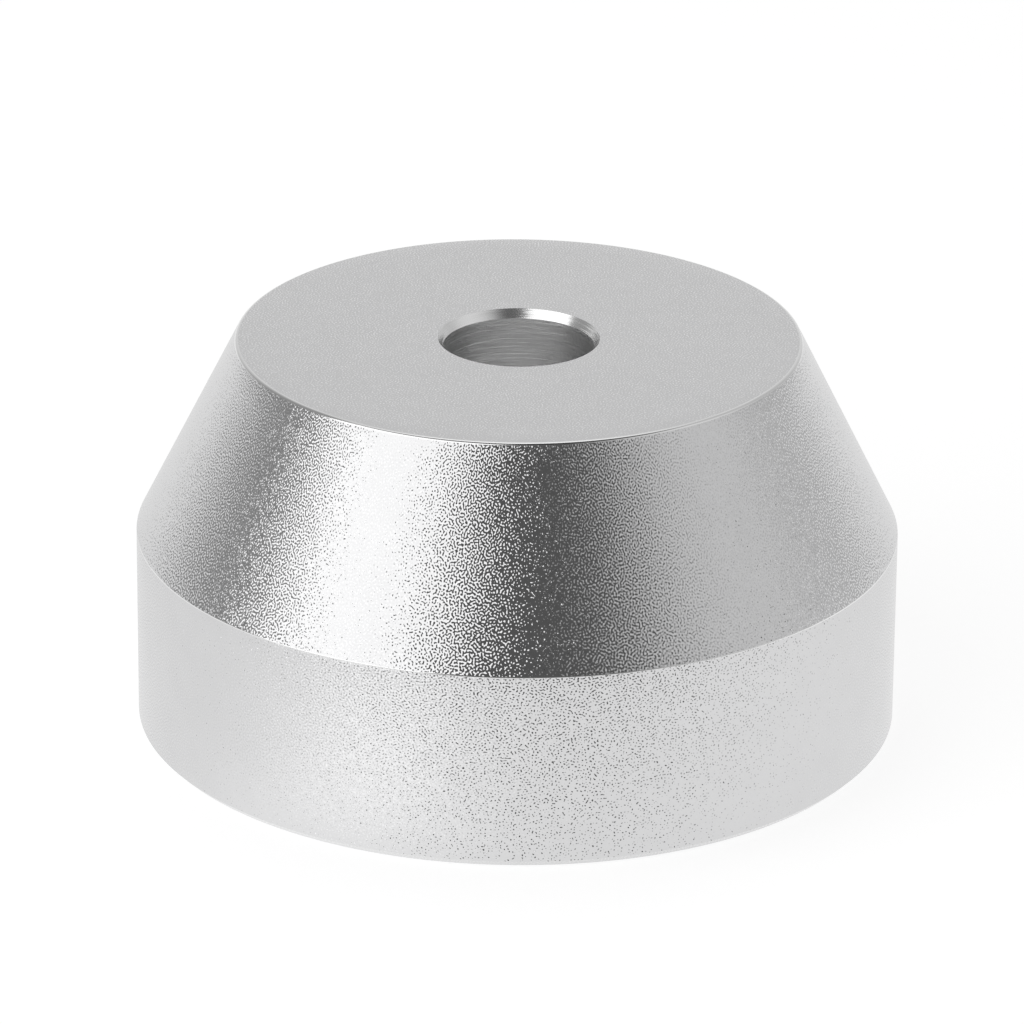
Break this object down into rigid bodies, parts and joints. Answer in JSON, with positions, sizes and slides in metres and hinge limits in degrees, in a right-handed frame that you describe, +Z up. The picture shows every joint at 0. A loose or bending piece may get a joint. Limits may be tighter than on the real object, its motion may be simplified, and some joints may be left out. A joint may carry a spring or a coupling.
{
  "type": "record spindle adapter",
  "caption": "Solid turned aluminium puck with a plain band, a conical taper and a flat top, bored through, that centres a wide-hole record on a narrow turntable spindle.",
  "frame": {"origin": "centre of the flat underside, on the spindle's axis", "axes": "+Z up along the spindle's axis, from the underside to the small flat top; X and Y are equal, because the part is turned"},
  "size_m": [0.038, 0.038, 0.02],
  "materials": {
    "blasted_aluminium": "bead-blasted and clear anodised, satin silver"
  },
  "bodies": {
    "root": {"spindle_adapter": "blasted_aluminium"}
  },
  "joints": []
}
